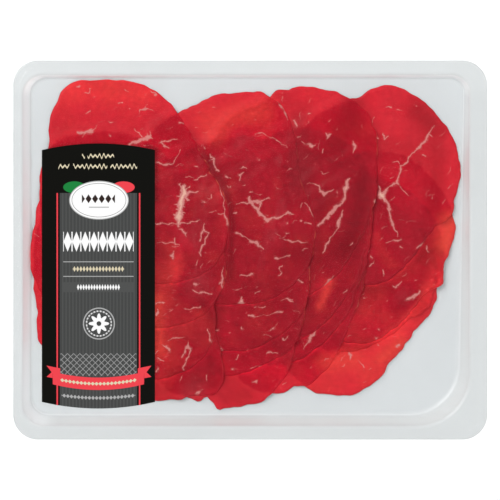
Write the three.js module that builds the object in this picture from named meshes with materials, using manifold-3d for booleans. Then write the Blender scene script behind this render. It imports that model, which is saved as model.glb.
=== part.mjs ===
import * as THREE from 'three';
import { mergeVertices } from 'three/addons/utils/BufferGeometryUtils.js';
import Module from 'manifold-3d';

// Thin slices of air-dried beef in four shingled columns of four, sealed in a shallow clear tray
// under a flat clear film that carries a printed label. Millimetres, +Z up. The pack lies flat:
// the origin is the middle of the tray's underside, +X runs along the pack, away from the label,
// and +Y from the label's foot to its head.

const wasm = await Module();
wasm.setup();

const packLength = 237;
const packWidth = 189.5;
const rimTop = 13;
const wall = 0.8;
const rimRadius = 12.5;
const cornerSteps = 8;

// How far the well starts in from the rim's edge, how far its walls slope in, how wide the round at
// their foot is, and its corners' radii. The right side has a value for each of its ends, as its
// foot runs askew. One corner is cut far back: that wide piece of rim is where the film is peeled.
const lipInset = { left: 4.5, rightFront: 8.5, rightBack: 8.5, front: 6.5, back: 7.2 };
const wallRun = { left: 3.6, rightFront: 4.5, rightBack: 2.4, front: 5, back: 1 };
const footRound = { left: 1.2, rightFront: 2.5, rightBack: 1.2, front: 2, back: 0.6 };
const lipRadius = { backLeft: 10, backRight: 9, frontLeft: 11, frontRight: 27 };
const leastRadius = 3;
const radiusLoss = 0.5;

const filmThickness = 0.3;
const filmInset = 0.4;
const layGap = 0.1;

const labelWidth = 56.6;
const labelSide = 126;
const labelBow = 3.3;
const labelThickness = 0.3;
const labelMiddle = { x: -75.9, y: -13 };

// A slice takes sliceThickness of the height that each layer adds to the pile.
const sliceThickness = 0.68;
const layerHeight = 0.85;
const sliceRest = wall + 0.15;
const sliceSides = 56;
const drapeCell = 9;
const samplesPerSide = 24;
const weldDistance = 1e-5;
const bulgeSpread = 13;

// The cut edge wavers slowly: how far, and how often round the slice.
const wavers = [
  { height: 0.35, times: 7, drift: 1 },
  { height: 0.25, times: 12, drift: -3 },
];

// The slices of a column come off one muscle, so they share one outline: its radii in equal steps
// of angle, anticlockwise from +X.
const muscles = [
  [38.5, 34, 34.5, 41, 48.5, 55.5, 59, 50, 45, 43, 45, 47, 50, 53.5, 55, 48],
  [39.5, 38, 46, 56, 52, 50, 50, 48, 45.5, 46, 48, 51.5, 53.5, 54, 53.5, 47],
  [42.5, 46, 54, 53, 51.5, 46.5, 47, 45.5, 43, 44, 48.5, 54, 55, 49, 43.5, 41],
  [43.5, 46.5, 48.5, 50.5, 50, 45.5, 45, 45, 43, 44, 47.5, 50, 48.5, 43, 37.5, 38.5],
];

// Each slice's middle, its stretch along X and Y, and where it bulges: an angle and a height.
// Row 1 is the topmost slice of its column, and column 1 lies over column 2, and so on.
const slices = [
  { column: 1, row: 1, x: -55, y: 34 },
  { column: 1, row: 2, x: -58, y: 10, wide: 1.03, tall: 0.96 },
  { column: 1, row: 3, x: -62, y: -13.5, tall: 1.02 },
  { column: 1, row: 4, x: -62.2, y: -25, tall: 0.98, bulges: [[312, 11], [207, 5]] },
  { column: 2, row: 1, x: -11, y: 26 },
  { column: 2, row: 2, x: -14, y: 3 },
  { column: 2, row: 3, x: -16, y: -9 },
  { column: 2, row: 4, x: -18.5, y: -25.5, wide: 0.95 },
  { column: 3, row: 1, x: 21, y: 30 },
  { column: 3, row: 2, x: 19, y: 9, wide: 0.98 },
  { column: 3, row: 3, x: 18, y: -2, wide: 0.97 },
  { column: 3, row: 4, x: 17, y: -13, wide: 0.95, tall: 1.07 },
  { column: 4, row: 1, x: 60.7, y: 31 },
  { column: 4, row: 2, x: 58.5, y: 1, tall: 0.97 },
  { column: 4, row: 3, x: 53, y: -8, tall: 0.88, bulges: [[325, 6]] },
  { column: 4, row: 4, x: 50, y: -23 },
];

const trayPlastic = new THREE.MeshStandardMaterial({
  name: 'tray', color: 0xdfe4e7, roughness: 0.25, metalness: 0,
});
const clearFilm = new THREE.MeshStandardMaterial({
  name: 'film', color: 0xf4f7f8, roughness: 0.08, metalness: 0, transparent: true, opacity: 0.15,
});
const labelPrint = new THREE.MeshStandardMaterial({
  name: 'label', color: 0x17171a, roughness: 0.35, metalness: 0,
});
const driedBeef = new THREE.MeshStandardMaterial({
  name: 'meat', color: 0xb5222c, roughness: 0.45, metalness: 0,
});

const degrees = Math.PI / 180;
const sides = Object.keys(lipInset);

// Insets for every side, from shares of the lip's, the wall's and the foot's, and a further amount.
function inset({ lip = 0, run = 0, foot = 0, more = 0 }) {
  return Object.fromEntries(sides.map((side) => [
    side, lip * lipInset[side] + run * wallRun[side] + foot * footRound[side] + more,
  ]));
}

// The lip's corner radii, tightened as a loop moves in from the lip and opened as it moves out.
function radiiAt(movedIn) {
  return Object.fromEntries(Object.entries(lipRadius).map(([corner, radius]) => [
    corner, Math.max(radius - radiusLoss * movedIn, leastRadius),
  ]));
}

function evenRadii(radius) {
  return { backLeft: radius, backRight: radius, frontLeft: radius, frontRight: radius };
}

// A level rectangle with round corners, set in from the rim's edge, anticlockwise from above.
function roundedLoop(from, radii, z) {
  const rightBack = packLength / 2 - from.rightBack;
  const rightFront = packLength / 2 - from.rightFront;
  const left = -packLength / 2 + from.left;
  const back = packWidth / 2 - from.back;
  const front = -packWidth / 2 + from.front;
  const corners = [
    [rightBack - radii.backRight, back - radii.backRight, radii.backRight],
    [left + radii.backLeft, back - radii.backLeft, radii.backLeft],
    [left + radii.frontLeft, front + radii.frontLeft, radii.frontLeft],
    [rightFront - radii.frontRight, front + radii.frontRight, radii.frontRight],
  ];
  const points = [];
  corners.forEach(([x, y, radius], quarter) => {
    for (let step = 0; step <= cornerSteps; step += 1) {
      const angle = (quarter + step / cornerSteps) * 90 * degrees;
      points.push([x + radius * Math.cos(angle), y + radius * Math.sin(angle), z]);
    }
  });
  return points;
}

// Skins a run of loops with equal counts and closes the first and the last with a fan.
function skinLoops(loops) {
  const around = loops[0].length;
  const points = loops.flat();
  const faces = [];
  for (let ring = 0; ring + 1 < loops.length; ring += 1) {
    for (let step = 0; step < around; step += 1) {
      const next = (step + 1) % around;
      const low = ring * around;
      const high = low + around;
      faces.push(low + step, high + step, high + next, low + step, high + next, low + next);
    }
  }
  const lastRing = (loops.length - 1) * around;
  const firstMiddle = points.push([0, 0, loops[0][0][2]]) - 1;
  const lastMiddle = points.push([0, 0, loops.at(-1)[0][2]]) - 1;
  for (let step = 0; step < around; step += 1) {
    const next = (step + 1) % around;
    faces.push(step, next, firstMiddle, lastRing + next, lastRing + step, lastMiddle);
  }
  return indexedGeometry(points, faces);
}

function indexedGeometry(points, faces) {
  const geometry = new THREE.BufferGeometry();
  geometry.setAttribute('position', new THREE.Float32BufferAttribute(points.flat(), 3));
  geometry.setIndex(faces);
  geometry.computeVertexNormals();
  return geometry;
}

// The tray's section, from the floor up the wall, over the lip and out to the rim: the shares and
// the further inset of each station and the height of its upper face. The last pair is the way
// from there to the lower face.
const traySection = [
  { lip: 1, run: 1, foot: 1, z: wall, shell: [0, -wall] },
  { lip: 1, run: 1, foot: 0.35, z: 1.4, shell: [-0.4, -0.65] },
  { lip: 1, run: 1, foot: 0, z: 2.6, shell: [-0.75, -0.4] },
  { lip: 1, more: 0.5, z: rimTop - 1.4, shell: [-0.75, -0.35] },
  { lip: 1, more: -0.2, z: rimTop - 0.3, shell: [-0.5, -0.65] },
  { lip: 1, more: -1.3, z: rimTop, shell: [-0.1, -wall] },
];

function sectionLoop(station, lower) {
  const [outwards, upwards] = lower ? station.shell : [0, 0];
  const from = inset({ ...station, more: (station.more ?? 0) + outwards });
  return roundedLoop(from, radiiAt(from.left - lipInset.left), station.z + upwards);
}

function trayGeometry() {
  const upper = traySection.map((station) => sectionLoop(station, false));
  const lower = traySection.map((station) => sectionLoop(station, true)).reverse();
  const edge = [rimTop, rimTop - wall].map((z) => roundedLoop(inset({}), evenRadii(rimRadius), z));
  return skinLoops([...upper, ...edge, ...lower]);
}

function plateGeometry(outline, thickness) {
  return new THREE.ExtrudeGeometry(outline, { depth: thickness, bevelEnabled: false, curveSegments: 12 });
}

function filmGeometry() {
  const loop = roundedLoop(inset({ more: filmInset }), evenRadii(rimRadius - filmInset), 0);
  const outline = new THREE.Shape(loop.map(([x, y]) => new THREE.Vector2(x, y)));
  return plateGeometry(outline, filmThickness);
}

// The label's long sides are straight and its ends bow outwards.
function labelGeometry() {
  const half = labelWidth / 2;
  const end = labelSide / 2;
  const outline = new THREE.Shape();
  outline.moveTo(-half, -end);
  outline.quadraticCurveTo(0, -end - 2 * labelBow, half, -end);
  outline.lineTo(half, end);
  outline.quadraticCurveTo(0, end + 2 * labelBow, -half, end);
  outline.closePath();
  return plateGeometry(outline, labelThickness);
}

// The radius of a column's outline at any angle, on a smooth closed curve through its radii.
function muscleRadius(radii, angle) {
  const place = (angle / 360) * radii.length;
  const before = Math.floor(place);
  const share = place - before;
  const [a, b, c, d] = [-1, 0, 1, 2].map((step) => (
    radii[(before + step + radii.length) % radii.length]
  ));
  const curve = 2 * a - 5 * b + 4 * c - d;
  const twist = -a + 3 * b - 3 * c + d;
  return 0.5 * (2 * b + (c - a) * share + curve * share ** 2 + twist * share ** 3);
}

// The waver differs from slice to slice.
function edgeWaver({ column, row }, angle) {
  const phase = 40 * column + 95 * row;
  return wavers.reduce((sum, { height, times, drift }) => (
    sum + height * Math.sin((times * angle + drift * phase) * degrees)
  ), 0);
}

function bulgeAt(bulges, angle) {
  return bulges.reduce((sum, [middle, height]) => {
    const away = ((angle - middle + 540) % 360) - 180;
    return sum + height * Math.exp(-0.5 * (away / bulgeSpread) ** 2);
  }, 0);
}

function sliceOutline(slice) {
  const { column, x, y, wide = 1, tall = 1, bulges = [] } = slice;
  return Array.from({ length: sliceSides }, (unused, side) => {
    const angle = (360 * side) / sliceSides;
    const radius = muscleRadius(muscles[column - 1], angle) + bulgeAt(bulges, angle)
      + edgeWaver(slice, angle);
    return new THREE.Vector2(
      x + wide * radius * Math.cos(angle * degrees),
      y + tall * radius * Math.sin(angle * degrees),
    );
  });
}

function isInside(point, outline) {
  let inside = false;
  outline.forEach((a, index) => {
    const b = outline[(index + 1) % outline.length];
    const spans = (a.y > point.y) !== (b.y > point.y);
    const crossing = a.x + ((b.x - a.x) * (point.y - a.y)) / (b.y - a.y);
    inside = spans && point.x < crossing ? !inside : inside;
  });
  return inside;
}

// The square cells of the drape grid that a slice covers or touches.
function touchedCells(outline) {
  const cells = new Map();
  const add = (column, row) => cells.set(`${column},${row}`, [column, row]);
  outline.forEach((a, index) => {
    const b = outline[(index + 1) % outline.length];
    for (let step = 0; step < samplesPerSide; step += 1) {
      const point = a.clone().lerp(b, step / samplesPerSide);
      add(Math.floor(point.x / drapeCell), Math.floor(point.y / drapeCell));
    }
  });
  const reach = Math.ceil(packLength / 2 / drapeCell);
  for (let column = -reach; column < reach; column += 1) {
    for (let row = -reach; row < reach; row += 1) {
      const corner = new THREE.Vector2(column * drapeCell, row * drapeCell);
      if (isInside(corner, outline)) {
        add(column, row);
      }
    }
  }
  return [...cells.values()];
}

function solidOf(geometry) {
  const bare = geometry.clone();
  bare.deleteAttribute('normal');
  bare.deleteAttribute('uv');
  const merged = mergeVertices(bare, weldDistance);
  return new wasm.Manifold(new wasm.Mesh({
    numProp: 3,
    vertProperties: new Float32Array(merged.attributes.position.array),
    triVerts: new Uint32Array(merged.index.array),
  }));
}

function geometryOf(solid) {
  const mesh = solid.getMesh();
  const geometry = new THREE.BufferGeometry();
  geometry.setAttribute('position', new THREE.BufferAttribute(mesh.vertProperties, 3));
  geometry.setIndex(new THREE.BufferAttribute(mesh.triVerts, 1));
  geometry.computeVertexNormals();
  return geometry;
}

// A sheet of touched cells draped on the pile: a grid point rests on as many layers as lie there.
function drapedSheet(cells, pile) {
  const numbers = new Map();
  const points = [];
  const corner = (column, row, top) => {
    const key = `${column},${row}`;
    if (!numbers.has(key)) {
      const under = sliceRest + layerHeight * (pile.get(key) ?? 0);
      const x = column * drapeCell;
      const y = row * drapeCell;
      numbers.set(key, points.length);
      points.push([x, y, under], [x, y, under + sliceThickness]);
    }
    return numbers.get(key) + (top ? 1 : 0);
  };
  const taken = new Set(cells.map(([column, row]) => `${column},${row}`));
  const faces = [];
  cells.forEach(([column, row]) => {
    const ring = [[0, 0], [1, 0], [1, 1], [0, 1]].map(([right, back]) => [column + right, row + back]);
    const top = ring.map(([right, back]) => corner(right, back, true));
    const low = ring.map(([right, back]) => corner(right, back, false));
    faces.push(top[0], top[1], top[2], top[0], top[2], top[3]);
    faces.push(low[0], low[2], low[1], low[0], low[3], low[2]);
    const beyond = [[0, -1], [1, 0], [0, 1], [-1, 0]];
    beyond.forEach(([right, back], side) => {
      const next = (side + 1) % beyond.length;
      if (!taken.has(`${column + right},${row + back}`)) {
        faces.push(low[side], low[next], top[next], low[side], top[next], top[side]);
      }
    });
  });
  numbers.forEach((unused, key) => pile.set(key, (pile.get(key) ?? 0) + 1));
  return indexedGeometry(points, faces);
}

function sliceGeometry(slice, pile) {
  const outline = sliceOutline(slice);
  const sheet = solidOf(drapedSheet(touchedCells(outline), pile));
  const cutter = solidOf(plateGeometry(new THREE.Shape(outline), rimTop));
  return geometryOf(sheet.intersect(cutter));
}

function named(name, geometry, material) {
  const mesh = new THREE.Mesh(geometry, material);
  mesh.name = name;
  return mesh;
}

function slicePile() {
  const pile = new Map();
  const group = new THREE.Group();
  [...slices].reverse().forEach((slice) => {
    const name = `slice_c${slice.column}_r${slice.row}`;
    group.add(named(name, sliceGeometry(slice, pile), driedBeef.clone()));
  });
  return group;
}

const pack = new THREE.Group();
pack.add(named('tray', trayGeometry(), trayPlastic));
pack.add(slicePile());

const film = named('film', filmGeometry(), clearFilm);
film.position.z = rimTop + layGap;
pack.add(film);

const label = named('label', labelGeometry(), labelPrint);
label.position.set(labelMiddle.x, labelMiddle.y, film.position.z + filmThickness + layGap);
pack.add(label);

export default pack;
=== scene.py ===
import math
import random

import bmesh
import bpy
import numpy as np
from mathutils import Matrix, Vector


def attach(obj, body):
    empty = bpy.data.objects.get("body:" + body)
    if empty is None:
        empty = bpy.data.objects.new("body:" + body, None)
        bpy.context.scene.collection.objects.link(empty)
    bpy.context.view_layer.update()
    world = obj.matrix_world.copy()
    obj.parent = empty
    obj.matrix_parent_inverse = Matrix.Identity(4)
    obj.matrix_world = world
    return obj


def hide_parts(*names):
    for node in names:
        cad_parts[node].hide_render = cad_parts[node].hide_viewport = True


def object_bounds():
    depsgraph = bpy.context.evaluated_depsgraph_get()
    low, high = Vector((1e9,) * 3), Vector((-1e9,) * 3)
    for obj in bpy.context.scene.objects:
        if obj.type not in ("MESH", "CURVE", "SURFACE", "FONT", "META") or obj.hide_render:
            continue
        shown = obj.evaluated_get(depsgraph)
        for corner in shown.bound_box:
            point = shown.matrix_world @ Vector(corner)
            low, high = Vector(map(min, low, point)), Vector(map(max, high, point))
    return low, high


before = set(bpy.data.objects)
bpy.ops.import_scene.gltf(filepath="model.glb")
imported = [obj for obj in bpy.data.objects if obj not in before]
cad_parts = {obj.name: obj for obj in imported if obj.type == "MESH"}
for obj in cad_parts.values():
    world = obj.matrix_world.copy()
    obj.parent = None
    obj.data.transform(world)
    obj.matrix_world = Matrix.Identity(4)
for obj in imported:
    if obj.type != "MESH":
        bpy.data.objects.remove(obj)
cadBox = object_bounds()
mm = 0.001  # sizes are in millimetres, and a mesh is scaled by this when it is done
print("frame loaded:", len(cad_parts), "solids")


class Wire:  # an output socket, on which sums can be written
    def __init__(self, finish, socket):
        self.finish = finish
        self.socket = socket

    def __add__(self, other):
        return self.finish.maths("ADD", self, other)

    def __sub__(self, other):
        return self.finish.maths("SUBTRACT", self, other)

    def __rsub__(self, other):
        return self.finish.maths("SUBTRACT", other, self)

    def __mul__(self, other):
        return self.finish.maths("MULTIPLY", self, other)

    def __truediv__(self, other):
        return self.finish.maths("DIVIDE", self, other)

    def __abs__(self):
        return self.finish.maths("ABSOLUTE", self)

    __radd__ = __add__
    __rmul__ = __mul__

    def clamped(self):  # to between 0 and 1
        return self.finish.maths("ADD", self, 0.0, clamp=True)

    def step(self, low, high):  # 0 below low, 1 above high, and smooth between
        settings = {"interpolation_type": "SMOOTHSTEP"}
        return self.finish.node("ShaderNodeMapRange", settings, {0: self, 1: low, 2: high})


class Finish:  # the nodes of a material or of the sky, and the one way in which they are made
    def __init__(self, block):
        self.block = block
        block.use_nodes = True
        self.tree = block.node_tree
        self.tree.nodes.clear()

    def node(self, kind, settings, values, out=0):
        made = self.tree.nodes.new(kind)
        for name, setting in settings.items():
            if name == "stops":
                self.setStops(made.color_ramp, setting)
            else:
                setattr(made, name, setting)
        for name, value in values.items():
            if isinstance(value, Wire):
                self.tree.links.new(value.socket, made.inputs[name])
            else:
                made.inputs[name].default_value = value
        return Wire(self, made.outputs[out]) if len(made.outputs) else None

    def setStops(self, ramp, stops):
        while len(ramp.elements) < len(stops):
            ramp.elements.new(1.0)
        for element, (place, colour) in zip(ramp.elements, stops):
            element.position = place
            element.color = (*colour, 1)

    def maths(self, operation, *values, clamp=False):
        settings = {"operation": operation, "use_clamp": clamp}
        return self.node("ShaderNodeMath", settings, dict(enumerate(values)))

    def place(self, turn=0.0, stretch=(1, 1, 1), shift=(0, 0, 0)):  # object coordinates in millimetres
        at = self.node("ShaderNodeTexCoord", {}, {}, out="Object")
        values = {"Vector": at, "Location": shift, "Rotation": (0, 0, math.radians(turn))}
        values["Scale"] = [share / mm for share in stretch]
        return self.node("ShaderNodeMapping", {}, values)

    def split(self, vector):  # into its x, y and z
        first = self.node("ShaderNodeSeparateXYZ", {}, {"Vector": vector})
        return [Wire(self, output) for output in first.socket.node.outputs]

    def noise(self, at, size, detail=2.0, roughness=0.5):  # size is the width of its patches
        values = {"Vector": at, "Scale": 1 / size, "Detail": detail, "Roughness": roughness}
        return self.node("ShaderNodeTexNoise", {}, values)

    def attribute(self, name):
        return self.node("ShaderNodeAttribute", {"attribute_name": name}, {}, out="Fac")

    def mix(self, share, low, high, blend="MIX"):  # two colours
        low, high = (c if isinstance(c, Wire) else (*c, 1) for c in (low, high))
        settings = {"data_type": "RGBA", "blend_type": blend}
        return self.node("ShaderNodeMix", settings, {0: share, 6: low, 7: high}, out=2)

    def dim(self, colour, share):  # every channel of a colour times one share
        grey = self.node("ShaderNodeCombineColor", {}, {0: share, 1: share, 2: share})
        return self.mix(1.0, colour, grey, blend="MULTIPLY")

    def bump(self, height, strength, distance):
        values = {"Height": height, "Strength": strength, "Distance": distance * mm}
        return self.node("ShaderNodeBump", {}, values)

    def surface(self, values):
        shader = self.node("ShaderNodeBsdfPrincipled", {}, values)
        self.node("ShaderNodeOutputMaterial", {}, {"Surface": shader})
        return self


def newFinish(name):
    return Finish(bpy.data.materials.new(name))


def addPiece(name, bm, finish, slot, *nodes, softShade=True):  # a finished mesh takes its place in the pack
    bmesh.ops.scale(bm, vec=(mm, mm, mm), verts=bm.verts)
    for face in bm.faces:
        face.smooth = softShade
    mesh = bpy.data.meshes.new(name)
    bm.to_mesh(mesh)
    bm.free()
    mesh.materials.append(finish.block)
    piece = bpy.data.objects.new(name, mesh)
    bpy.context.scene.collection.objects.link(piece)
    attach(piece, "root")
    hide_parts(*nodes)
    return piece


def passLight(piece):  # for thin sheets close above the meat, which would leave it in the dark
    piece.visible_shadow = False
    piece.visible_diffuse = False


def thicken(piece, thickness):
    solid = piece.modifiers.new("thickness", "SOLIDIFY")
    solid.thickness = thickness * mm
    solid.offset = -1
    solid.use_even_offset = True


# Studio: a camera straight above, large soft lamps to the sides and a pale floor

studio = {
    "lens": 350,  # from far away, so that what lies in the tray is seen at the rim's scale
    "viewWidth": 250,  # how much of the rim's level the photo takes in
    "viewMiddle": (-0.1, 0),
    "floorSize": 6000,
    "floorGap": 0.2,  # how far the floor is below the tray
    "floorColour": (0.96, 0.965, 0.97),
    "floorRoughness": 0.9,
    "skyColour": (1, 1, 1),
    "skyStrength": 0.72,
    "overheadStrength": 0.36,
    "overhead": (0.5, 0.85),  # sine of the height where the sky begins to dim and where it is dark
    "lamps": [  # place, side and power
        {"at": (-1750, 1550, 2250), "side": 1800, "power": 63},
        {"at": (2100, -900, 2500), "side": 2200, "power": 34},
    ],
}


def makeCamera():
    camera = bpy.data.objects.new("camera", bpy.data.cameras.new("camera"))
    camera.data.lens = studio["lens"]
    above = studio["viewWidth"] * camera.data.lens / camera.data.sensor_width
    middle = studio["viewMiddle"]
    camera.location = Vector((middle[0], middle[1], above)) * mm + Vector((0, 0, cadBox[1].z))
    bpy.context.scene.collection.objects.link(camera)
    bpy.context.scene.camera = camera


def makeLamps():
    for number, lamp in enumerate(studio["lamps"]):
        light = bpy.data.lights.new(f"lamp{number}", "AREA")
        light.size = lamp["side"] * mm
        light.energy = lamp["power"]
        holder = bpy.data.objects.new(f"lamp{number}", light)
        holder.location = Vector(lamp["at"]) * mm
        holder.rotation_euler = (-holder.location).to_track_quat("-Z", "Y").to_euler()
        bpy.context.scene.collection.objects.link(holder)


def makeFloor():
    bm = bmesh.new()
    bmesh.ops.create_grid(bm, x_segments=1, y_segments=1, size=studio["floorSize"] * mm / 2)
    bmesh.ops.translate(bm, vec=(0, 0, -studio["floorGap"] * mm), verts=bm.verts)
    floor = bpy.data.objects.new("floor", bpy.data.meshes.new("floor"))
    bm.to_mesh(floor.data)
    bm.free()
    bpy.context.scene.collection.objects.link(floor)
    values = {"Base Color": (*studio["floorColour"], 1), "Roughness": studio["floorRoughness"]}
    floor.data.materials.append(newFinish("floor").surface(values).block)


def makeSky():  # darker straight overhead, so that film and moist meat aren't veiled from above
    sky = Finish(bpy.data.worlds.new("studio"))
    height = sky.split(sky.node("ShaderNodeTexCoord", {}, {}, out="Generated"))[2]
    values = {
        "Value": height,
        "From Min": studio["overhead"][0],
        "From Max": studio["overhead"][1],
        "To Min": studio["skyStrength"],
        "To Max": studio["overheadStrength"],
    }
    strength = sky.node("ShaderNodeMapRange", {"interpolation_type": "SMOOTHSTEP"}, values)
    values = {"Color": (*studio["skyColour"], 1), "Strength": strength}
    light = sky.node("ShaderNodeBackground", {}, values)
    sky.node("ShaderNodeOutputWorld", {}, {"Surface": light})
    bpy.context.scene.world = sky.block


bpy.context.scene.view_settings.view_transform = "Standard"
makeCamera()
makeLamps()
makeFloor()
makeSky()
print("studio ready")


# Tray: a thermoformed shell, drawn from the flat rim over the lip and down to the floor

tray = {
    "length": 237, "width": 189.5, "rimTop": 13, "wall": 0.8, "rimRadius": 12.5,
    "lipInset": {"left": 4.5, "rightFront": 8.5, "rightBack": 8.5, "front": 6.5, "back": 7.2},
    "wallRun": {"left": 3.6, "rightFront": 4.5, "rightBack": 2.4, "front": 5, "back": 1},
    "footRound": {"left": 1.2, "rightFront": 2.5, "rightBack": 1.2, "front": 2, "back": 0.6},
    "lipRadius": {"backLeft": 10, "backRight": 9, "frontLeft": 11, "frontRight": 27},
    "radiusLoss": 0.5, "leastRadius": 3,  # the corners tighten on the way down
    "footTop": 2.6, "lipBottom": 11.6,
    "lipStart": -1.3, "lipEnd": 0.5,  # where the lip's round begins, out from the lip, and ends, in from it
    "rimRing": 0.6, "lipRing": -2.2,  # these two keep the rim's shading flat
    "wallRings": (0.33, 0.67, 1),  # shares of the way down
    "floorRings": (0.8, 3),  # in from the wall's foot
    "cornerSteps": 16, "sideSteps": 24, "roundSteps": 6,
    "rimColour": (0.62, 0.645, 0.65),
    # painted light: the walls are coloured by side, the back one lightest, then the left one, the right and
    # front ones darkest, and the foot round lighter than the floor, standing in for how the light falls in
    # the well
    "wallColoursWithPaintedLight": {
        "back": (0.98, 0.99, 0.99),
        "left": (0.79, 0.81, 0.82),
        "other": (0.64, 0.66, 0.66),
    },
    "footColourPaintedLighter": (0.69, 0.715, 0.72),
    "floorColour": (0.61, 0.635, 0.645),
    "footLevel": (0.9, 1.4), "wallLevel": (1.8, 3.6), "rimLevel": (11.2, 12.8),  # where each colour sets in
    "leftWall": (-0.46, -0.40), "backWall": (0.40, 0.45),  # in shares of the length and of the width
    "hazeSize": 60, "rippleSize": 22,
    "cloud": (0.93, 0.08, 0.04),  # brightness, and what the haze and the ripple add to it
    "roughness": (0.16, 0.14),  # and what the haze adds to it
    "bump": (0.25, 0.6),  # strength and distance
    "clearness": 0.35, "ior": 1.5,
}
sides = list(tray["lipInset"])


def insetBy(lip=0, run=0, foot=0, more=0):
    shares = ((lip, "lipInset"), (run, "wallRun"), (foot, "footRound"))
    return {side: more + sum(share * tray[part][side] for share, part in shares) for side in sides}


def lipRadii(movedIn):
    radii = tray["lipRadius"]
    return {at: max(r - tray["radiusLoss"] * movedIn, tray["leastRadius"]) for at, r in radii.items()}


def evenRadii(radius):
    return {corner: radius for corner in tray["lipRadius"]}


def roundedLoop(inset, radii, height):  # a level rectangle with round corners, anticlockwise
    halfX, halfY = tray["length"] / 2, tray["width"] / 2
    right, rightFront = halfX - inset["rightBack"], halfX - inset["rightFront"]
    left, back, front = inset["left"] - halfX, halfY - inset["back"], inset["front"] - halfY
    corners = [
        (right, back, radii["backRight"], -1, -1),
        (left, back, radii["backLeft"], 1, -1),
        (left, front, radii["frontLeft"], 1, 1),
        (rightFront, front, radii["frontRight"], -1, 1),
    ]
    turns = [step / tray["cornerSteps"] for step in range(tray["cornerSteps"] + 1)]
    arcs = []
    for quarter, (x, y, radius, wayX, wayY) in enumerate(corners):
        middle = Vector((x + wayX * radius, y + wayY * radius, height))
        angles = [(quarter + turn) * math.pi / 2 for turn in turns]
        arcs.append([middle + radius * Vector((math.cos(a), math.sin(a), 0)) for a in angles])
    loop = []
    for arc, following in zip(arcs, arcs[1:] + arcs[:1]):
        loop += arc
        shares = [step / tray["sideSteps"] for step in range(1, tray["sideSteps"])]
        loop += [arc[-1].lerp(following[0], share) for share in shares]
    return loop


def drawLoops(bm, loops):  # a ring is extruded from each loop to the next
    count = len(loops[0])
    order = bm.verts.layers.int.new("order")
    made = bmesh.ops.create_circle(bm, segments=count, radius=1)["verts"]
    for number, (vert, point) in enumerate(zip(made, loops[0])):
        vert.co = point
        vert[order] = number
    ring = list({edge for vert in made for edge in vert.link_edges})
    for loop in loops[1:]:
        grown = bmesh.ops.extrude_edge_only(bm, edges=ring)["geom"]
        fresh = {part for part in grown if isinstance(part, bmesh.types.BMVert)}
        for vert in fresh:
            vert.co = loop[vert[order]]
        edges = [part for part in grown if isinstance(part, bmesh.types.BMEdge)]
        ring = [edge for edge in edges if set(edge.verts) <= fresh]
    return ring


def traySection():  # loops on the tray's upper face, from the rim's edge to the floor
    rimTop, lipBottom, footTop = tray["rimTop"], tray["lipBottom"], tray["footTop"]
    turns = [step / tray["roundSteps"] * math.pi / 2 for step in range(1, tray["roundSteps"] + 1)]
    loops = []
    for more in (0, tray["rimRing"]):
        loops.append(roundedLoop(insetBy(more=more), evenRadii(tray["rimRadius"] - more), rimTop))
    stations = [(dict(lip=1, more=more), rimTop) for more in (tray["lipRing"], tray["lipStart"])]
    for turn in turns:
        more = tray["lipStart"] + (tray["lipEnd"] - tray["lipStart"]) * math.sin(turn)
        stations.append((dict(lip=1, more=more), rimTop - (rimTop - lipBottom) * (1 - math.cos(turn))))
    for share in tray["wallRings"]:
        more = tray["lipEnd"] * (1 - share)
        stations.append((dict(lip=1, run=share, more=more), lipBottom + share * (footTop - lipBottom)))
    for turn in turns:
        height = footTop - (footTop - tray["wall"]) * math.sin(turn)
        stations.append((dict(lip=1, run=1, foot=1 - math.cos(turn)), height))
    stations += [(dict(lip=1, run=1, foot=1, more=more), tray["wall"]) for more in tray["floorRings"]]
    for shares, height in stations:
        inset = insetBy(**shares)
        loops.append(roundedLoop(inset, lipRadii(inset["left"] - tray["lipInset"]["left"]), height))
    return loops


def trayFinish():
    finish = newFinish("milkyPlastic")
    at = finish.place()
    haze = finish.noise(at, tray["hazeSize"], detail=3)
    ripple = finish.noise(at, tray["rippleSize"], detail=1)
    x, y, height = finish.split(at)
    # painted light: each wall and the foot round get their own colour for how the light falls on them
    walls = tray["wallColoursWithPaintedLight"]
    wall = finish.mix((x / tray["length"]).step(*tray["leftWall"]), walls["left"], walls["other"])
    wall = finish.mix((y / tray["width"]).step(*tray["backWall"]), wall, walls["back"])
    colour = finish.mix(height.step(*tray["footLevel"]), tray["floorColour"], tray["footColourPaintedLighter"])
    colour = finish.mix(height.step(*tray["wallLevel"]), colour, wall)
    colour = finish.mix(height.step(*tray["rimLevel"]), colour, tray["rimColour"])
    bright, byHaze, byRipple = tray["cloud"]
    rough, roughByHaze = tray["roughness"]
    return finish.surface({
        "Base Color": finish.dim(colour, bright + haze * byHaze + ripple * byRipple),
        "Roughness": rough + haze * roughByHaze,
        "Alpha": 1 - tray["clearness"],
        "IOR": tray["ior"],
        "Normal": finish.bump(ripple, *tray["bump"]),
    })


def makeTray():
    bm = bmesh.new()
    ring = drawLoops(bm, traySection())
    bmesh.ops.contextual_create(bm, geom=ring)
    bmesh.ops.recalc_face_normals(bm, faces=bm.faces)
    floorFace = max(bm.faces, key=lambda face: face.calc_area())
    if floorFace.normal.z < 0:
        bmesh.ops.reverse_faces(bm, faces=bm.faces)
    piece = addPiece("tray_shell", bm, trayFinish(), "tray", "tray")
    thicken(piece, tray["wall"])
    piece.visible_shadow = False


makeTray()
print("tray made")


# Slices: sixteen thin sheets, each draped on the ones below it

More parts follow.
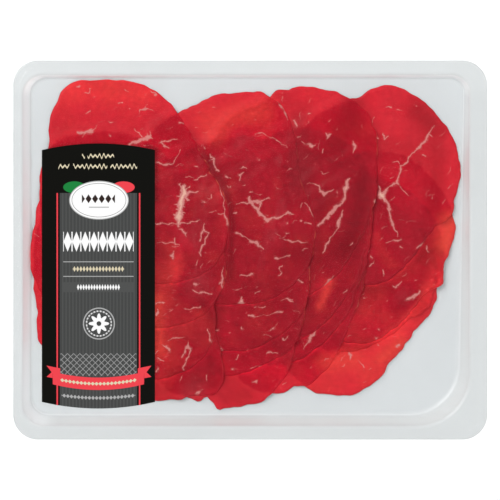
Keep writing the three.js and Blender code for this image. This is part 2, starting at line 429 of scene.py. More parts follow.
meat = {
    "thickness": 0.78, "layerHeight": 0.85,
    "rest": 0.95,  # the height of the lowest slice's underside
    "sides": 190, "rings": 42,
    "crowding": 1.5,  # how closely the mesh's rings crowd at the edge
    "edgeRound": (1.6, 0.3),  # of the upper and the lower face
    "rimLevel": -0.8,  # where the rim is between the upper face at 1 and the lower one at -1
    "hold": 0.8, "fall": 5,  # how far past a lower edge a slice stays up, and then comes down
    "swayHeight": 0.4,
    "swayLayers": (1, 4),  # with how many slices at a place the sway sets in and is full
    "wavers": [(0.3, 7, 1), (0.22, 12, -3), (0.17, 34, 5), (0.1, 57, -7)],  # height, times round, drift
    "bulgeSpread": 13,
    "spread": 0.4,  # how far the soft edge reaches past the solid's outline
    "notches": 24, "notchDepth": (0.15, 0.8), "notchSpread": (0.8, 2.8),
    "grain": {1: 12, 2: 8, 3: 62, 4: 40},  # the fibres' direction in each column
    "flecks": 60, "fleckLength": (0.8, 4.5), "fleckWidth": (0.14, 0.27), "fleckStrength": (0.1, 0.75),
    "fleckArea": 50,  # half the side of the square that they are drawn in
    "fleckMargin": 2,  # how far they stay inside the outline
    "fleckTurn": 22, "fleckBend": 0.2, "fleckEnds": (0.6, 0.5),  # off the grain, off straight, and end widths
    "veinStrength": 0.92, "veinShare": 0.88, "veinSoft": 0.5, "veinReach": 4.3,
    "veinLimit": 3.0,  # how far the vein value goes above and below 0
    "wander": (0.32, 0.1),  # how far veins stray, in slow and in quick waves
    "facing": (0.4, 0.97),  # cosines, off the right, where an outline begins to face right and where it does
    "layerEdge": (-0.9, 0.7),  # a lower slice is a whole layer inside the first gap, and none past the second
    "shadeReach": 2.2, "shadeLeast": 0.08,  # of the shade beside a slice, and its share at other edges
    "shadeLimit": 20,  # wider gaps count as this
    "creasePaintedLight": (0.95, 0.4),  # painted light in the creases at a slice's lower and at its right edge, where the geometry shades them
    "creaseReach": 0.45,
    "rimLift": 0.33, "rimReach": 0.6,  # of the painted light along a slice's own edge
    "edgeMost": 4,  # past this way in from its edge a slice has no painted rim highlight and no painted edge light
    "edgeAway": 2,  # added to that way where the edge doesn't face right, so that no painted rim highlight shows there
    "leastLayers": 0.3,  # the painted light is full over one layer, and has this share over none
    "refining": [(1.4, True), (0.8, True), (0.35, False)],  # reach, and whether lower edges count too
    "refineLayers": 5,  # over this many layers a lower edge no longer shows
    "refineUnder": 1.5,  # how far in under the slices above the mesh is still refined
    "refineLevel": 0.3,  # the upper face lies above this
}
far = 99.0  # the gap to a slice or a vein that isn't there
muscles = [  # each column's outline: sixteen radii in equal steps, from the right and anticlockwise
    [38.5, 34, 34.5, 41, 48.5, 55.5, 59, 50, 45, 43, 45, 47, 50, 53.5, 55, 48],
    [39.5, 38, 46, 56, 52, 50, 50, 48, 45.5, 46, 48, 51.5, 53.5, 54, 53.5, 47],
    [42.5, 46, 54, 53, 51.5, 46.5, 47, 45.5, 43, 44, 48.5, 54, 55, 49, 43.5, 41],
    [43.5, 46.5, 48.5, 50.5, 50, 45.5, 45, 45, 43, 44, 47.5, 50, 48.5, 43, 37.5, 38.5],
]
# Topmost first. A bulge is an angle and a height, a ruffle has its own spread as well, and a nick is
# an angle, a depth and a spread
slices = [
    {"column": 1, "row": 1, "x": -55, "y": 34,
     "ruffles": [(7, -0.8, 3), (80, 0.9, 9), (103, -0.9, 5), (124, 2.4, 7), (137, -1.2, 5), (155, -0.9, 3)],
     "nicks": [(7.4, 1.2, 1.5)]},
    {"column": 1, "row": 2, "x": -58, "y": 10, "wide": 1.03, "tall": 0.96},
    {"column": 1, "row": 3, "x": -62, "y": -13.5, "tall": 1.02, "ruffles": [(168, 2.3, 10)]},
    {"column": 1, "row": 4, "x": -62.2, "y": -25, "tall": 0.98, "bulges": [(312, 11), (207, 5)],
     "ruffles": [(304, -4.5, 5), (296, -1.2, 5)], "nicks": [(297.5, -1.8, 1.1), (293.5, 0.9, 1.5)]},
    {"column": 2, "row": 1, "x": -11, "y": 26, "ruffles": [(82, -0.8, 4), (98, 1, 4), (110, -0.5, 4)]},
    {"column": 2, "row": 2, "x": -14, "y": 3},
    {"column": 2, "row": 3, "x": -16, "y": -9},
    {"column": 2, "row": 4, "x": -18.5, "y": -25.5, "wide": 0.95,
     "ruffles": [(256, -2, 7), (266, -4.5, 2), (285, 1, 6), (297, 2.2, 5)],
     "nicks": [(269.5, 3, 0.8), (273, -1.5, 0.9)]},
    {"column": 3, "row": 1, "x": 21, "y": 30, "ruffles": [(64, 1.2, 4), (90, -0.9, 4), (101, 1.3, 3)]},
    {"column": 3, "row": 2, "x": 19, "y": 9, "wide": 0.98},
    {"column": 3, "row": 3, "x": 18, "y": -2, "wide": 0.97},
    {"column": 3, "row": 4, "x": 17, "y": -13, "wide": 0.95, "tall": 1.07,
     "ruffles": [(277, -1.6, 3), (285, 1.4, 3), (297, 1.2, 5)]},
    {"column": 4, "row": 1, "x": 60.7, "y": 31, "warmth": -0.05,
     "ruffles": [(-18, 2.8, 5), (22, 0.5, 18), (58, 1.4, 6), (78, 1.5, 6), (98, -2.4, 5)]},
    {"column": 4, "row": 2, "x": 58.5, "y": 1, "tall": 0.97, "warmth": 0.1,
     "ruffles": [(-26, 3.8, 5), (-9, -1, 4), (2, -1.8, 5)]},
    {"column": 4, "row": 3, "x": 53, "y": -8, "tall": 0.88, "bulges": [(325, 6)], "warmth": 0.1,
     "ruffles": [(312, -1.2, 4)]},
    {"column": 4, "row": 4, "x": 50, "y": -23, "warmth": 0.09,
     "ruffles": [(250, 1.2, 5), (272, 1.6, 6), (300, -2.3, 5), (331, -1, 4)]},
]
pile = slices[::-1]  # from the bottom up

# Uneven colour in the meat, mostly tone; the rows marked below are painted shadow or a painted highlight.
# Lighter by this power of two, warmer by this, and along a path of x, y and reach
patches = [
    (0.15, 0.22, [(-90, 80, 7), (-70, 82, 8), (-52, 79, 6)]),
    # painted shadow of the label along its top edge and the top of its right edge
    (-0.9, 0.0, [(-104, 50, 1.8), (-76, 52.7, 1.8), (-48, 50, 1.8), (-47.4, 48, 1.2), (-47.4, 25, 1.2)]),
    (-0.2, 0.0, [(-98, 61, 4)]),
    (-0.15, 0.0, [(-80, 83, 3), (-62, 81, 3)]),
    # painted shadow of the label along its right edge
    (-0.4, 0.0, [(-47.6, 25, 1.5), (-47.6, -74, 1.5)]),
    (-0.3, 0.0, [(-45, 0, 2.5), (-41, -2, 2.5)]),
    (0.2, 0.0, [(-35, 3, 3), (-37, -15, 2.5)]),
    (0.35, 0.0, [(-14, -19, 2.5)]),
    (-0.15, 0.0, [(-92, 62, 9), (-60, 60, 9)]),
    # painted shade, broad, beside the upper right edge of column 1's topmost slice
    (-0.3, -0.05, [(-47, 64, 6), (-36, 58, 7), (-26, 50, 6), (-20, 44, 4)]),
    # painted shadow along the right edge of column 1's topmost slice
    (-0.5, 0.0, [(-23, 48, 2), (-18.3, 40, 2), (-12.8, 31, 1.8), (-9.6, 21, 1.5), (-9.3, 10, 1.5),
                 (-10, -14, 1.8)]),
    # painted highlight just inside that edge
    (0.3, 0.0, [(-17, 32, 3), (-13, 18, 3), (-13, 4, 3)]),
    (0.0, 0.25, [(-20, 64, 8), (-15, 57, 6)]),
    (0.0, 0.15, [(-21, 57, 4)]),
    (0.05, 0.28, [(-8, 66, 7), (6, 70, 7)]),
    (0.2, 0.0, [(5, 50, 8), (9, 15, 8), (27, 15, 5)]),
    (0.3, 0.0, [(-38, 30, 3), (-37, 12, 4), (-30, 2, 3)]),
    (-0.3, 0.0, [(18, 0, 6), (30, -3, 6), (44, 0, 7)]),
    (-0.2, 0.0, [(0, -18, 5), (16, -18, 5), (8, -28, 4)]),
    (-0.55, 0.0, [(52, 75, 5), (48, 65, 8), (44, 54, 6)]),
    (-0.3, 0.0, [(18, 76, 5)]),
    (-0.3, 0.0, [(26, 69, 6)]),
    (-0.2, 0.0, [(54, 66, 4), (56, 48, 4)]),
    (-0.3, -0.2, [(24, 63, 5), (26, 45, 8), (24, 34, 6)]),
    (-0.45, 0.0, [(56, 38, 4), (55, 20, 5), (50, 2, 6)]),
    (0.4, 0.0, [(62, 20, 2), (62, 8, 3), (60, 0, 4)]),
    (-0.1, 0.0, [(72, 74, 6)]),
    (-0.4, 0.0, [(83, 68, 6), (88, 62, 7), (94, 48, 5), (92, 20, 5)]),
    (-0.35, 0.0, [(84, 73, 5), (96, 60, 4)]),
    (-0.3, 0.0, [(88, 10, 4), (89, 5, 4)]),
    (-0.3, 0.0, [(38, 26, 5), (34, 18, 3)]),
    (-0.25, 0.0, [(36, 47, 5), (50, 44, 4)]),
    (-0.3, 0.0, [(85, 44, 4)]),
    (-0.2, 0.0, [(76, -12, 3)]),
    (0.2, 0.0, [(76, 28, 4), (84, 22, 4)]),
    (0.12, 0.0, [(60, -58, 8)]),
    (0.22, 0.0, [(50, -37, 7), (68, -36, 8)]),
    (0.3, 0.0, [(15, 3, 4)]),
    (0.1, 0.15, [(64, 6, 5), (70, -6, 5)]),
    (-0.3, 0.0, [(58, -20, 3), (70, -19, 3)]),
    (-0.3, 0.0, [(62, 54, 6), (80, 50, 6)]),
    (-0.35, 0.0, [(93, 0, 4), (86, -4, 5)]),
    (-0.3, 0.0, [(74, -28, 4), (84, -22, 3)]),
    (0.3, 0.0, [(93, -12, 3), (90, -24, 3)]),
    (0.25, 0.0, [(0, -62, 5), (15, -60, 5)]),
    (0.25, 0.0, [(23, -50, 3)]),
    (0.35, 0.0, [(29, -22, 3), (36, -16, 3)]),
    (-0.2, 0.0, [(46, -48, 3), (62, -47, 3)]),
    (-0.3, 0.0, [(27, -56, 3), (33, -53, 2.5)]),
    (0.28, 0.0, [(42, -53, 4)]),
    (-0.2, 0.0, [(2, -47, 2.5), (18, -46, 2.5)]),
    (0.25, 0.1, [(64, -47, 3), (76, -40, 3), (90, -18, 3)]),
    (0.1, 0.0, [(-42, -22, 6), (-40, -36, 6)]),
    (0.15, 0.0, [(-26, -32, 6), (-14, -28, 4)]),
    (-0.35, 0.0, [(-39, -61, 3), (-28, -62, 3)]),
    (0.2, 0.0, [(-43, -54, 2.5)]),
    (0.3, 0.0, [(-11, -34, 2.5), (-11, -42, 2.5)]),
    (-0.3, 0.0, [(-13, -24, 2.5), (-14, -30, 2.5)]),
    (-0.35, 0.0, [(-23, -28, 4), (-18, -35, 3)]),
    (-0.45, 0.0, [(-44, -71, 5), (-20, -64, 5), (-20, -56, 3)]),
    (-0.3, 0.0, [(-14, -68, 6), (4, -66, 6)]),
    (-0.35, 0.0, [(-12, -75, 4), (-2, -74, 4)]),
    (0.05, 0.5, [(100, 14, 6), (98, 2, 4)]),
    (-0.1, 0.15, [(74, -52, 6), (60, -62, 6)]),
    (0.0, 0.3, [(38, -56, 5), (52, -55, 5)]),
    (0.0, 0.3, [(66, -54, 3), (76, -46, 3)]),
    (0.0, -0.15, [(62, -41, 6)]),
    (0.0, 0.13, [(-42, -8, 12), (-40, -62, 12)]),
    (0.0, 0.07, [(-22, 26, 9), (-20, -40, 9)]),
    (0.3, 0.08, [(-37, 2, 4), (-37, -14, 4)]),
    (0.1, 0.3, [(-47, -25, 4), (-46, -50, 4)]),
    (0.35, 0.3, [(40, -17, 2.5), (35, -28, 2.5)]),
    (0.0, -0.35, [(-25, -17, 8)]),
    (0.0, -0.25, [(-29, 6, 8)]),
    (0.0, -0.5, [(-28, -69, 8)]),
    (0.0, -0.3, [(-5, 56, 5)]),
    (0.0, -0.35, [(77, -23, 6)]),
]


def smooth(low, high, value):
    share = np.clip((value - low) / (high - low), 0, 1)
    return share * share * (3 - 2 * share)


def muscleRadius(radii, angle):  # on a smooth closed curve through the radii
    place = angle / 360 * len(radii)
    before = np.floor(place).astype(int)
    share = place - before
    a, b, c, d = (np.take(radii, before + step, mode="wrap") for step in (-1, 0, 1, 2))
    curve = 2 * a - 5 * b + 4 * c - d
    twist = -a + 3 * b - 3 * c + d
    return 0.5 * (2 * b + (c - a) * share + curve * share**2 + twist * share**3)


def apart(angle, other):  # in degrees, from -180 to 180
    return (angle - other + 540) % 360 - 180


def nearest(ax, ay, aw, bx, by, bw, x, y):  # how far a stretch of a path is, and its width there
    dx, dy = bx - ax, by - ay
    share = np.clip(((x - ax) * dx + (y - ay) * dy) / (dx * dx + dy * dy + 1e-9), 0, 1)
    return np.hypot(x - ax - share * dx, y - ay - share * dy), aw + share * (bw - aw)


def softness(path, x, y):  # 1 along a path, falling to 0 over its reach
    stretches = zip(path, path[1:] or path)
    found = [nearest(*start, *end, x, y) for start, end in stretches]
    return np.max([np.exp(-(away / reach) ** 2) for away, reach in found], axis=0)


def notchesOf(piece):  # small teeth in the cut edge, at random
    chance = random.Random(100 * piece["column"] + piece["row"])
    depth, spread = meat["notchDepth"], meat["notchSpread"]
    return [(chance.uniform(0, 360), chance.uniform(*depth), chance.uniform(*spread))
            for _ in range(meat["notches"])]


def outlineRadius(piece, angle):
    radius = muscleRadius(muscles[piece["column"] - 1], angle)
    radius = radius + meat["spread"]
    phase = 40 * piece["column"] + 95 * piece["row"]
    for height, times, drift in meat["wavers"]:
        radius = radius + height * np.sin(np.radians(times * angle + drift * phase))
    bulges = [(middle, height, meat["bulgeSpread"]) for middle, height in piece.get("bulges", [])]
    for middle, height, spread in bulges + piece.get("ruffles", []):
        radius = radius + height * np.exp(-0.5 * (apart(angle, middle) / spread) ** 2)
    for middle, depth, spread in piece["notches"] + piece.get("nicks", []):
        radius = radius - depth * np.exp(-abs(apart(angle, middle)) / spread)
    return radius


def beyond(piece, x, y):  # how far outside a slice's outline, below 0 inside it
    across = (x - piece["x"]) / piece.get("wide", 1)
    along = (y - piece["y"]) / piece.get("tall", 1)
    return np.hypot(across, along) - outlineRadius(piece, np.degrees(np.arctan2(along, across)))


def gapsAt(x, y):  # to every slice of the pile
    return [beyond(piece, x, y) for piece in pile]


def sway(x, y):  # the pile isn't pressed flat: waves of uneven length lift it
    slow = np.sin(x / 11 + 1.4 * np.sin(y / 19) + 0.6) + 0.7 * np.sin(y / 8.5 - x / 25)
    return meat["swayHeight"] * (0.5 + slow / 3.4)  # slow stays within 1.7 either way


def heightAt(number, gaps, x, y):  # of a slice's underside; each slice gives height to what lies on it
    held = [1 - smooth(meat["hold"], meat["hold"] + meat["fall"], gap) for gap in gaps]
    deep = smooth(*meat["swayLayers"], sum(held))
    return meat["rest"] + meat["layerHeight"] * sum(held[:number], 0 * x) + deep * sway(x, y)


for piece in slices:
    piece["notches"] = notchesOf(piece)

# Marbling: each vein is a row of points with the vein's half width there

veins = [
    # column 1, topmost slice
    [(-33.2, 31.5, 1.4), (-33.2, 28.5, 2.1), (-34.6, 24, 1.6), (-35.3, 19.5, 1.8), (-35.9, 16.2, 2.2),
     (-35.8, 12, 0.5)],
    [(-32.5, 28.2, 0.9), (-29, 29, 0.6), (-26.2, 29.3, 0.25)],
    [(-33, 26.5, 0.7), (-30.9, 25.2, 0.35)],
    [(-34.2, 22.2, 0.5), (-37.8, 23.2, 0.15)],
    [(-34.4, 27.4, 0.7), (-36.8, 27.2, 0.25)],
    [(-35.4, 21, 0.8), (-37.4, 20.6, 0.3)],
    [(-35.8, 17.4, 1), (-38.2, 17.6, 0.3)],
    [(-35.2, 18.8, 0.8), (-32.7, 18.4, 0.2)],
    [(-34.2, 31, 0.5), (-35.9, 33.2, 0.15)],
    [(-33, 30.4, 0.8), (-31, 31.4, 0.25)],
    [(-34.8, 22.6, 0.6), (-32.9, 21.8, 0.2)],
    [(-32, 30.5, 0.6), (-30.4, 32.3, 0.2)],
    [(-35.8, 10.5, 0.3), (-33.5, 9.6, 0.5), (-32.2, 8.6, 0.6), (-32.1, 6.8, 0.2)],
    [(-47.2, 13.2, 0.3), (-36, 13.2, 0.35), (-31, 13.6, 0.35), (-26.5, 14.7, 0.3), (-25, 14.9, 0.1)],
    [(-47, 3.7, 0.25), (-38.5, 3.5, 0.25)],
    [(-37.3, 6, 0.2), (-38, 3.3, 0.5), (-35.2, 2.2, 0.15)],
    [(-37.8, -0.5, 0.25), (-39.3, -2.6, 0.8), (-38.5, -4.3, 0.5)],
    [(-22.7, 12.9, 0.15), (-23.6, 10.3, 0.6), (-24.3, 7.5, 0.35), (-25.3, 4.9, 0.45)],
    [(-23.6, 10.3, 0.5), (-21, 8.3, 0.4), (-23.3, 2.8, 0.35), (-25.3, -0.6, 0.45), (-24.2, -3.2, 0.2)],
    [(-26.7, -5.2, 0.15), (-27.3, -7.5, 0.35)],
    [(-16.2, 34, 0.15), (-13.2, 25.2, 0.25), (-13, 18.5, 0.3), (-11.3, 13.8, 0.6), (-10.5, 9.7, 0.3)],
    [(-16, 18.3, 0.15), (-13, 18, 0.3)],
    [(-60.6, 53, 0.9), (-56, 54.8, 0.9), (-51, 56.6, 1.1), (-49.2, 56, 0.3)],
    [(-58.3, 61.1, 0.2), (-54, 56.9, 0.35)],
    [(-51.7, 58.6, 0.2), (-51, 57, 0.3)],
    [(-49.9, 59.6, 0.15), (-50.2, 57.3, 0.25)],
    [(-86.6, 58.9, 0.5), (-82.5, 59.2, 1), (-79, 59.9, 0.7)],
    [(-79, 60.5, 0.2), (-76.5, 62.8, 0.12)],
    [(-83, 58.5, 0.3), (-83.8, 56.8, 0.15)],
    [(-45.6, 54, 0.5), (-41.2, 54.8, 0.4), (-36.6, 56, 0.2)],
    [(-44.8, 53.5, 0.3), (-42.7, 52.2, 0.6), (-41.2, 51, 0.3)],
    [(-47, 43.8, 0.4), (-43.8, 43, 0.45), (-39.7, 42.8, 0.45), (-37.4, 45.6, 0.15), (-35.3, 50, 0.2)],
    [(-56, 68.5, 0.15), (-55.2, 70.1, 0.3), (-53.5, 70.9, 0.5), (-48.4, 70.3, 0.15)],
    [(-53.5, 70.9, 0.3), (-51.7, 73.4, 0.15)],
    [(-35.6, 63.7, 0.4), (-33.8, 63.7, 0.5)],
    [(-87, 82.3, 0.3), (-86, 81.8, 0.5)],
    [(-71, 64.6, 0.2), (-70, 64.2, 0.45), (-69, 64.4, 0.2)],
    [(-83, 78.7, 0.2), (-81.2, 78.8, 0.3), (-80.7, 80.8, 0.15)],
    [(-82.5, 68.8, 0.2), (-80.8, 69.3, 0.3), (-80.2, 70.5, 0.1)],
    [(-66.4, 73.6, 0.35), (-64.4, 73.9, 0.2)],
    [(-63, 80.9, 0.3), (-61, 79.2, 0.15)],
    [(-50.3, 79.6, 0.15), (-47.8, 79.2, 0.35), (-47.6, 78, 0.5)],
    [(-61.1, 71.1, 0.35), (-61, 71, 0.35)],
    [(-70.3, 57.6, 0.5), (-70, 57.5, 0.5)],
    [(-28.2, 35, 0.2), (-25, 36.3, 0.35), (-22, 38, 0.2)],
    [(-28, 42.3, 0.2), (-26.5, 42, 0.4)],
    [(-35.7, 33.2, 0.5), (-35.4, 33.4, 0.4)],
    [(-19.8, 27.5, 0.2), (-19.6, 26.3, 0.55)],
    # column 1, lower slices
    [(-13.8, -8.5, 0.15), (-13.9, -12.2, 0.3), (-14.2, -15.7, 0.8), (-13.9, -18.5, 0.55),
     (-13.5, -21.5, 0.2)],
    [(-15.8, -17, 0.2), (-14.5, -16, 0.4)],
    [(-29, -20, 0.4), (-26, -21.3, 0.3), (-22.5, -21.4, 0.5), (-19, -21.9, 0.2)],
    [(-27.8, -17.3, 0.5), (-25.5, -16.6, 0.15)],
    [(-29.6, -14.9, 0.5), (-26.7, -14.5, 0.2)],
    [(-33, -15.8, 0.4), (-31.4, -15, 0.2)],
    [(-33, -29.8, 0.25), (-29, -29.4, 0.2), (-27, -28.9, 0.3), (-25.4, -28.5, 0.45)],
    [(-47, -27, 0.3), (-45, -26.2, 0.5), (-42.5, -26.1, 0.2)],
    [(-46.4, -29.5, 0.3), (-46.6, -31.5, 0.8), (-46.8, -33, 0.4)],
    [(-21.3, -39.5, 0.2), (-20.2, -43.8, 0.45), (-19.3, -46.7, 0.6), (-18.5, -50.4, 0.3)],
    [(-31, -45.8, 0.15), (-31.6, -48.4, 0.6), (-34.2, -53.9, 0.35)],
    [(-31.6, -48.4, 0.5), (-29.6, -50.1, 0.45), (-32.2, -55.8, 0.35), (-33.6, -59, 0.6),
     (-32.5, -61.9, 0.2)],
    [(-34.5, -63.3, 0.15), (-35.3, -65.9, 0.35)],
    [(-41.7, -45.5, 0.12), (-36.3, -43.8, 0.4), (-32.8, -44.1, 0.12)],
    [(-44.3, -47.5, 0.2), (-41.7, -48.5, 0.5), (-40.6, -50, 0.8), (-40.5, -51.2, 0.3)],
    [(-46.6, -54.5, 0.3), (-45, -55.4, 0.4), (-43, -55.6, 0.2)],
    [(-46.5, -58.7, 0.4), (-46.8, -61.2, 0.5)],
    [(-27.2, -73.3, 0.4), (-26.5, -71.7, 0.8), (-24, -70.2, 0.2)],
    [(-22.2, -65.8, 0.15), (-21.5, -62.5, 0.3)],
    # column 2, topmost slice
    [(-0.6, 27, 0.3), (-0.1, 24.7, 0.9), (2, 21.8, 1), (3.7, 19.8, 1.1), (6.5, 16.6, 0.7), (8.2, 14.9, 1)],
    [(0, 24.4, 0.6), (4, 24.1, 0.9), (6.5, 25, 0.5), (9.4, 25.9, 0.4)],
    [(5.1, 24, 0.8), (4.6, 21.5, 0.7), (4.2, 19.8, 0.8)],
    [(-6.8, 23.3, 0.2), (-3, 23.6, 0.35), (-0.2, 23.7, 0.5)],
    [(8.2, 15.2, 1), (10.5, 15.8, 0.5), (13.7, 16.1, 0.7), (17, 17.5, 0.45), (18.9, 18.6, 0.8),
     (21.6, 18.1, 0.25)],
    [(8.2, 15, 0.5), (8.4, 13.4, 0.2)],
    [(18.6, 13.2, 0.5), (18.7, 13.1, 0.4)],
    [(25.2, 14.9, 0.5), (25.4, 14.8, 0.4)],
    [(-7.2, 8.9, 0.5), (-4.7, 7.7, 0.25), (-1.2, 5.2, 0.3), (0.5, 4.4, 1), (3.7, 3.2, 1), (6.5, 0.2, 0.2)],
    [(16.9, 5.8, 0.2), (19.5, 4.3, 0.35), (23.5, 4.3, 0.4), (28.9, 3.4, 0.2)],
    [(17.7, 8.2, 0.4), (19.4, 8.9, 0.2)],
    [(25.2, 21.2, 0.15), (26.3, 23.5, 0.3)],
    [(27.5, 23.3, 0.2), (29.8, 21.2, 0.35), (31.2, 17.8, 0.35), (32, 15.5, 0.15)],
    [(27.2, 13.8, 0.2), (30.6, 12.9, 0.4)],
    [(12.6, -4.3, 0.45), (15.5, -3.8, 0.25), (20, -2.9, 0.35)],
    [(-5.2, -12.9, 0.2), (-1.2, -12.6, 0.35), (1.3, -12.2, 0.6)],
    [(16, -7.5, 0.12), (14.6, -9.5, 0.3), (16, -11.5, 0.35), (14.3, -12.6, 0.2)],
    [(-9, 18.3, 0.15), (-7.2, 18.3, 0.5)],
    [(-0.6, 29, 0.15), (1.5, 28.8, 0.3)],
    [(-11.7, 32, 0.15), (-9.5, 31.8, 0.3)],
    [(-4, 32.5, 0.15), (-2.4, 32.3, 0.3)],
    [(-5.4, 37.6, 0.8), (-3.6, 39, 0.3)],
    [(-5, 35, 0.2), (-5.2, 37.4, 0.5)],
    [(-5, 41, 0.15), (-3.2, 41.5, 0.35), (-1.7, 40.4, 0.15)],
    [(-20.3, 48.3, 0.3), (-18.5, 45.6, 0.6), (-17.6, 42, 0.35), (-17.2, 40, 0.6), (-15.5, 39.8, 0.3)],
    [(-20.3, 45, 0.15), (-18.5, 45.3, 0.4)],
    [(-22.8, 51.5, 0.5), (-22.6, 51.3, 0.4)],
    [(13, 74.8, 0.2), (15.7, 72.1, 0.4), (17.9, 68.9, 0.35), (18.6, 65.6, 0.25)],
    [(2.7, 58.3, 0.12), (4.9, 59.1, 0.35), (9.8, 57, 0.12), (14.6, 54.2, 0.2), (19, 51.5, 0.1)],
    [(4.2, 45.4, 0.45), (4.4, 45.3, 0.4)],
    [(-12.5, 37.4, 0.4), (-9.7, 35.7, 0.15)],
    [(-6, -26.5, 0.5), (-4.6, -26, 1.3), (-3.4, -26.8, 0.8)],
    [(-4.8, -24.6, 0.4), (-4.2, -23, 0.2)],
    [(15.5, -25.3, 0.15), (18.2, -24.5, 0.35), (21.5, -24.9, 0.3)],
    [(19, -24.7, 0.3), (21.7, -26.3, 0.2)],
    [(23.5, -14.8, 0.2), (25, -15.9, 0.5), (26.8, -16.2, 0.25)],
    [(2.6, -21.8, 0.3), (4.9, -20.4, 0.25)],
    # column 2, lower slices
    [(-1, -32.5, 0.3), (1.8, -33.5, 0.7)],
    [(2.5, -33.3, 0.12), (9.5, -32.4, 0.12), (13, -31.5, 0.4), (16.2, -30.7, 0.4)],
    [(2.2, -28.9, 0.1), (5, -28.6, 0.25), (7.7, -28.7, 0.2)],
    [(-4.2, -38.5, 0.4), (-4, -40, 0.4)],
    [(10.9, -40, 0.5), (12, -39.2, 0.4)],
    [(-18, -40, 0.2), (-15.7, -40.1, 0.5)],
    [(-1.9, -51, 0.2), (-0.4, -50, 0.5)],
    [(-5.8, -52.4, 0.25), (-7.2, -54.7, 0.35)],
    [(8, -52.4, 0.12), (10.3, -51, 0.35), (13.7, -52.1, 0.2)],
    [(-15, -49.5, 0.5), (-12.7, -51, 0.2)],
    [(-0.1, -59.2, 0.25), (2.8, -58.8, 0.2), (6.2, -58.3, 0.5), (7.6, -58.1, 0.3)],
    [(-8.7, -60, 0.6), (-8.5, -60.1, 0.5)],
    [(1.1, -66.6, 0.4), (3.2, -66.1, 0.6)],
    [(16.5, -68, 0.2), (17.7, -66.9, 0.3)],
    [(16.5, -44, 0.3), (17.4, -45.5, 0.3), (18.8, -43.7, 0.2)],
    # column 3
    [(37.6, 58.6, 0.15), (39, 57.2, 1), (40.6, 58.5, 0.35)],
    [(39, 57.3, 0.8), (38.4, 55.8, 0.3)],
    [(25.6, 54.4, 0.12), (28.3, 53.3, 0.2), (30.6, 52.4, 1.1), (31.2, 52.4, 1.1), (32.7, 52.6, 0.25)],
    [(51.9, 54.6, 0.3), (52.5, 52.3, 0.9), (51.7, 48.8, 0.15)],
    [(36.4, 50.6, 0.2), (36.5, 49, 0.4)],
    [(22.4, 64.7, 0.6), (23.2, 62.3, 0.7)],
    [(22, 59.7, 0.4), (22.3, 59.5, 0.3)],
    [(29, 68.3, 0.4), (30.2, 68.4, 0.2)],
    [(35.3, 39.3, 0.12), (37.4, 38, 0.25), (39, 38.9, 0.12)],
    [(28.4, 33.2, 0.1), (32.5, 33.5, 0.2), (34.7, 31.2, 0.6), (37, 27.8, 0.8), (39, 29.2, 0.35),
     (41.6, 30.3, 0.3)],
    [(50, 36.4, 0.3), (48.6, 34, 1), (47.9, 31, 1.4), (47.3, 27, 0.7), (47, 24.8, 0.5)],
    [(47, 24.8, 0.6), (42.5, 21, 1), (38.5, 16.2, 0.9), (34.4, 12.2, 0.7)],
    [(46.8, 20, 0.2), (45.2, 16.5, 0.6), (44.4, 13.9, 1.1), (43.9, 11, 0.5), (41, 7, 0.25),
     (38.7, 3, 0.55), (36.2, -1.6, 0.3)],
    [(41.7, -13, 0.3), (38.2, -16.9, 0.8), (34.4, -22.8, 0.25)],
    [(33.7, -39.4, 0.25), (31, -43.1, 0.9), (26.7, -49.5, 0.2)],
    [(46.8, -21.3, 0.3), (48.3, -20.5, 0.3)],
    [(49.8, 2.5, 0.2), (51.4, 3.7, 0.35)],
    [(28.5, -20.8, 0.2), (30.5, -19.9, 0.35), (31.8, -21.5, 0.2)],
    # column 4
    [(92.4, 62.4, 0.12), (89.8, 58.2, 0.7), (87.8, 54.7, 0.55), (84.7, 51.3, 1.1), (83, 50.1, 0.4),
     (80.1, 47.3, 0.4),
     (79, 44.1, 0.5), (75.8, 42, 0.4), (75, 38.3, 0.65), (73.8, 33.8, 0.7)],
    [(89.8, 58.2, 0.5), (91.2, 56.9, 0.15)],
    [(73.8, 33.8, 0.6), (70.3, 32, 0.45), (67.5, 29.2, 0.8), (66, 27.5, 1.8)],
    [(64.2, 32.2, 0.25), (65.3, 29.5, 0.9), (66, 27, 2.2)],
    [(66, 27, 2), (63.5, 25, 1.2), (62, 23.4, 0.3)],
    [(66, 27, 1.6), (68.4, 24.5, 0.8), (70.1, 19.6, 0.6), (70.2, 16, 0.7), (72.6, 10.5, 0.45),
     (74.3, 7, 0.2)],
    [(73.8, 33.8, 0.4), (76.1, 30.8, 0.25), (79.6, 27.3, 0.15)],
    [(71, 44.5, 0.15), (73.8, 44.4, 0.3), (75.3, 42.7, 0.2)],
    [(63.2, 56.7, 0.3), (64.6, 55.8, 0.3)],
    [(66.9, 59, 0.15), (67.2, 55.8, 0.5), (69.2, 57, 0.15)],
    [(68.4, 71.5, 0.15), (70.8, 71.9, 0.35)],
    [(86.8, 47.5, 0.3), (88, 46.9, 0.4)],
    [(91.3, 27.5, 0.12), (91.8, 25.5, 0.2)],
    [(68.4, 3.8, 0.25), (72, 4.6, 0.25), (75.4, 5.2, 0.5)],
    [(75.8, 1.4, 0.45), (76, 1.3, 0.4)],
    [(83.5, 1, 0.3), (86.2, 2.2, 0.7), (89.1, 4.5, 0.3)],
    [(88.4, 2, 0.3), (89.4, -0.8, 0.3)],
    [(61, -3.6, 0.5), (61.2, -3.7, 0.4)],
    [(62.1, -5.3, 0.15), (60.4, -8.1, 0.45)],
    [(67, -10, 0.15), (66.7, -12.7, 0.25)],
    [(71.7, -17.8, 0.15), (73, -18.8, 0.6), (76.1, -15.8, 0.15)],
    [(79, -24.6, 1), (81.5, -24, 0.8), (83.8, -21.9, 0.4), (85.3, -21, 0.5)],
    [(64.8, -40, 0.5), (65, -40.2, 0.4)],
    [(63.4, -44.2, 0.6), (63.6, -44.4, 0.5)],
